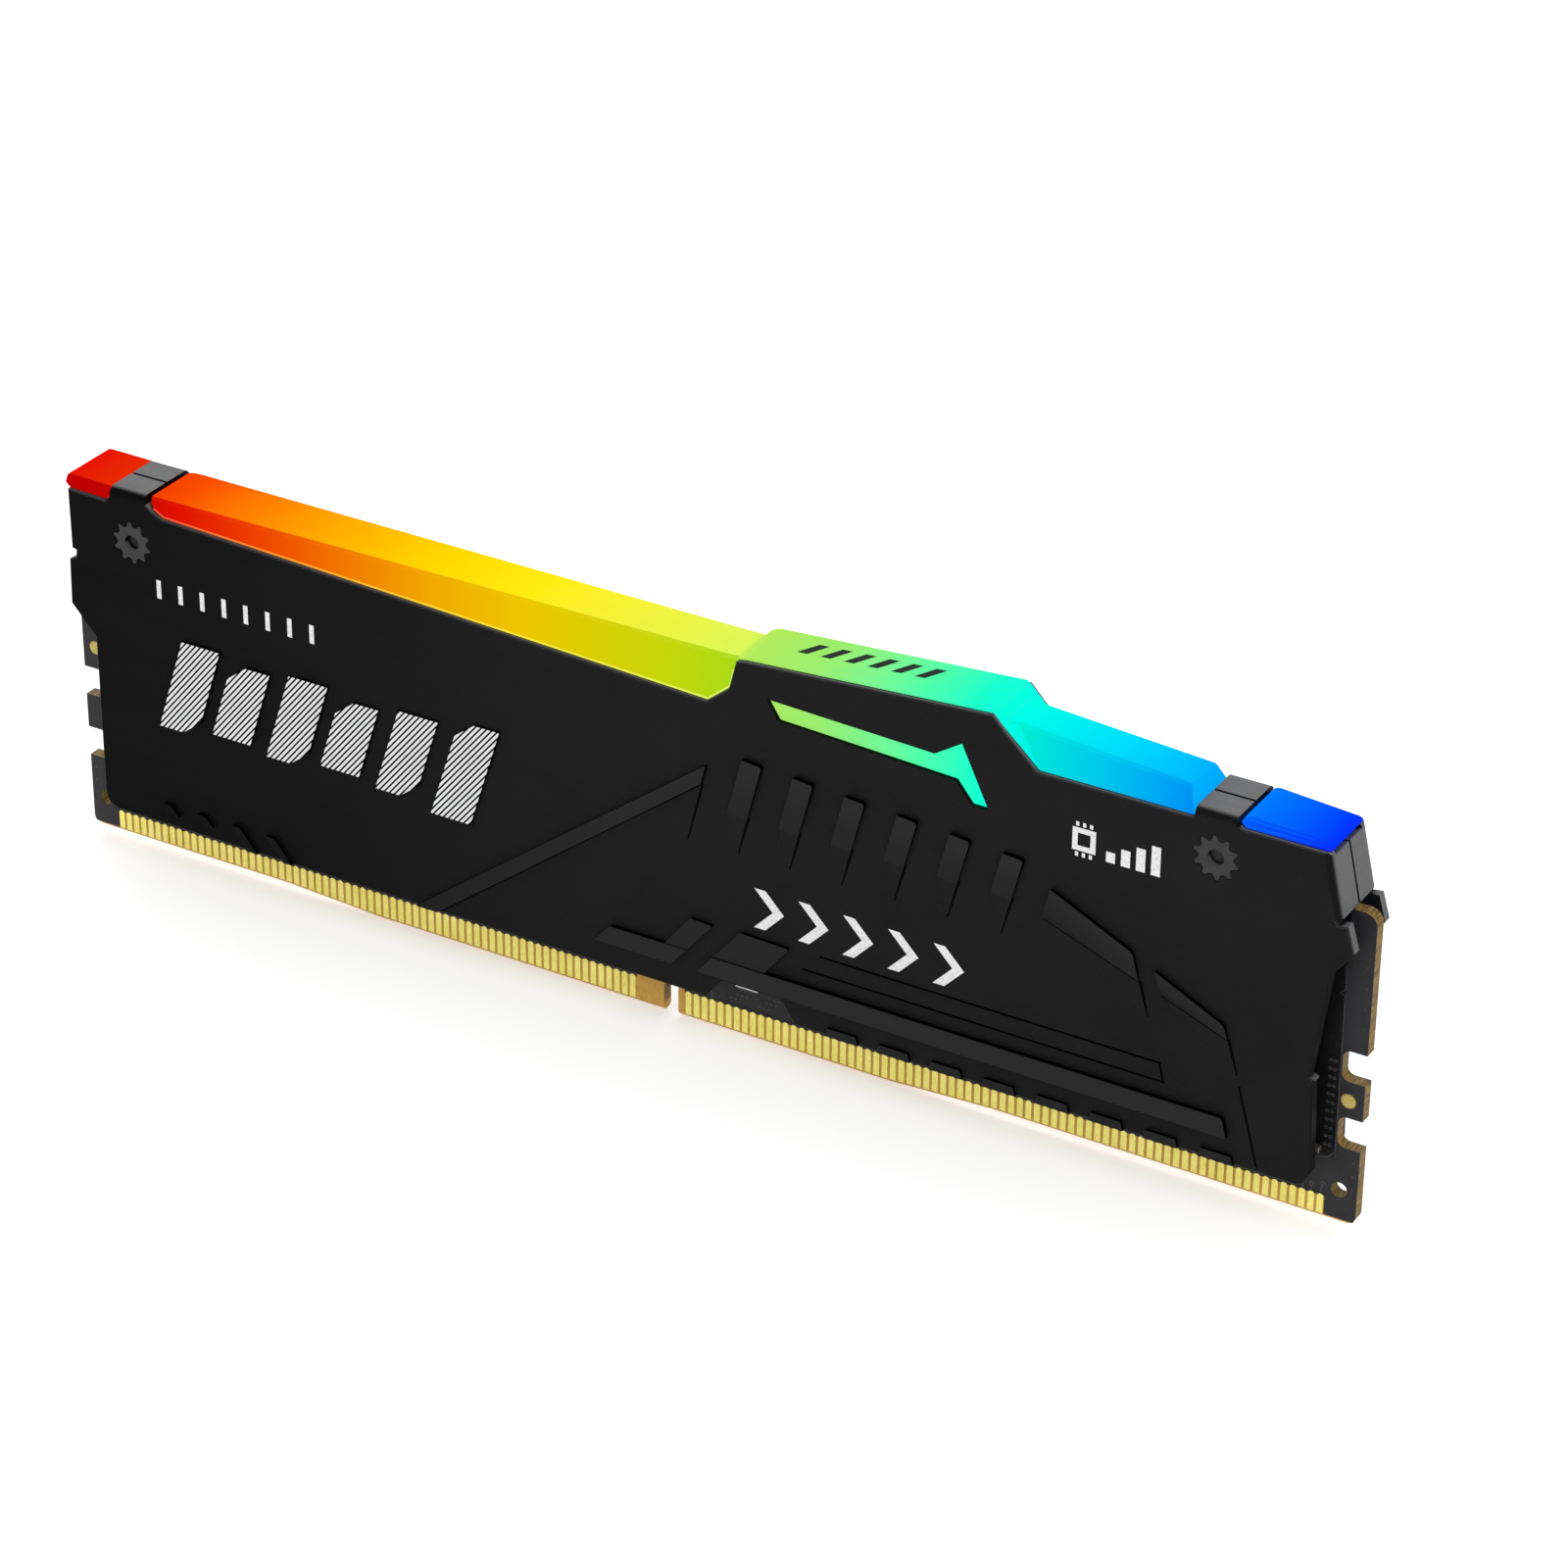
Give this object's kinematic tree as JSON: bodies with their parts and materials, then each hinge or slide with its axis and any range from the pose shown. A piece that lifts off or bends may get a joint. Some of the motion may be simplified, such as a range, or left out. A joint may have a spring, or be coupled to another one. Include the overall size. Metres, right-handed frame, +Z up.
{
  "type": "memory module",
  "caption": "Memory module: an edge-connector card between two black aluminium heat spreaders, with a lit diffuser bar along the top",
  "frame": {"origin": "middle of the card's length and thickness, at the lowest line of its contact edge", "axes": "+X along the card to the right as seen from the front, +Y from the front face to the back face, +Z up from the contact edge to the light bar"},
  "size_m": [0.1334, 0.0082, 0.0422],
  "materials": {
    "laminate": "glass-fibre laminate with milled brown-gold edges",
    "solder_mask": "black semi-gloss coating over copper tracks",
    "gold_plate": "gold plating, satin",
    "package": "moulded black epoxy",
    "inductor": "pressed grey ferrite",
    "capacitor": "fired ceramic body",
    "resistor": "black coated film",
    "emitter": "white housing with a clear lens",
    "thermal_pad": "soft grey filled silicone",
    "foam": "soft black closed-cell foam",
    "spreader": "black anodised aluminium, fine satin",
    "diffuser": "milky light guide, lit from inside in a rainbow along its length"
  },
  "bodies": {
    "root": {"circuit_board": "laminate", "solder_mask_front": "solder_mask", "solder_mask_back": "solder_mask", "contacts_front": "gold_plate", "contacts_back": "gold_plate", "locating_pads_front": "gold_plate", "locating_pads_back": "gold_plate", "memory_chip_1": "package", "memory_chip_2": "package", "memory_chip_3": "package", "memory_chip_4": "package", "memory_chip_5": "package", "memory_chip_6": "package", "memory_chip_7": "package", "memory_chip_8": "package", "power_controller": "package", "power_inductor_1": "inductor", "power_inductor_2": "inductor", "power_inductor_3": "inductor", "serial_hub": "package", "light_controller": "package", "light_emitter_1": "emitter", "light_emitter_2": "emitter", "light_emitter_3": "emitter", "light_emitter_4": "emitter", "light_emitter_5": "emitter", "light_emitter_6": "emitter", "light_emitter_7": "emitter", "light_emitter_8": "emitter", "light_emitter_9": "emitter", "light_emitter_10": "emitter", "light_emitter_11": "emitter", "light_emitter_12": "emitter", "capacitors_front": "capacitor", "capacitors_back": "capacitor", "resistor_networks": "resistor", "thermal_pad_front": "thermal_pad", "spacer_pad_back": "foam", "heat_spreader_front": "spreader", "heat_spreader_back": "spreader", "light_diffuser": "diffuser"}
  },
  "joints": []
}
